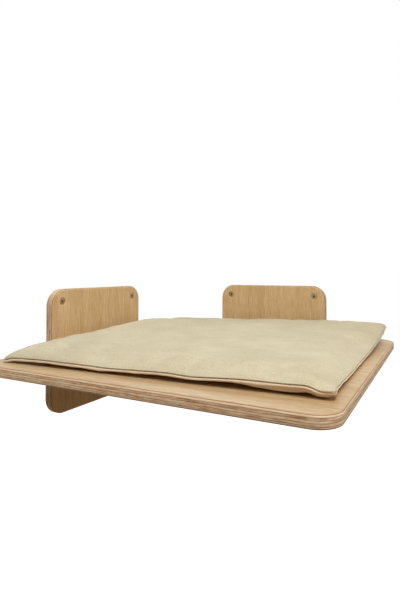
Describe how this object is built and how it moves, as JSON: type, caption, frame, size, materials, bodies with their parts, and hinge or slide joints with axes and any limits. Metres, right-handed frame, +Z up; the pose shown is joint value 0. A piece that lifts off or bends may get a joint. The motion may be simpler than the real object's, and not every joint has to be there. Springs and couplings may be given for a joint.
{
  "type": "cat wall corner shelf",
  "caption": "Square plywood shelf for a room corner, held by plywood plates screwed to both walls, with a thin soft mat that lifts off.",
  "frame": {"origin": "centre of the back wall plate's rear face, level with the board's middle plane", "axes": "+Y into the back wall, +X right along it, away from the corner, +Z up"},
  "size_m": [0.4306, 0.4307, 0.17],
  "materials": {
    "plywood": "satin clear lacquer on veneer, bare sanded edges",
    "dowel_beech": "bare",
    "zinc_steel": "zinc plated",
    "felt": "matt felt",
    "wadding": "loose fibre",
    "fastener_tape": "woven tape"
  },
  "bodies": {
    "shelf": {"platform_board": "plywood", "back_wall_plate": "plywood", "left_wall_plate": "plywood", "back_dowels": "dowel_beech", "left_dowels": "dowel_beech", "back_wall_screws": "zinc_steel", "left_wall_screws": "zinc_steel", "back_joint_screws": "zinc_steel", "left_joint_screws": "zinc_steel", "hook_strips": "fastener_tape"},
    "mat": {"mat_top_cover": "felt", "mat_bottom_cover": "felt", "mat_filling": "wadding", "loop_strips": "fastener_tape"}
  },
  "joints": [
    {"name": "mat_lift", "type": "slide", "parent": "shelf", "child": "mat", "axis": [0, 0, 1], "range_m": [0, 0.15]}
  ]
}
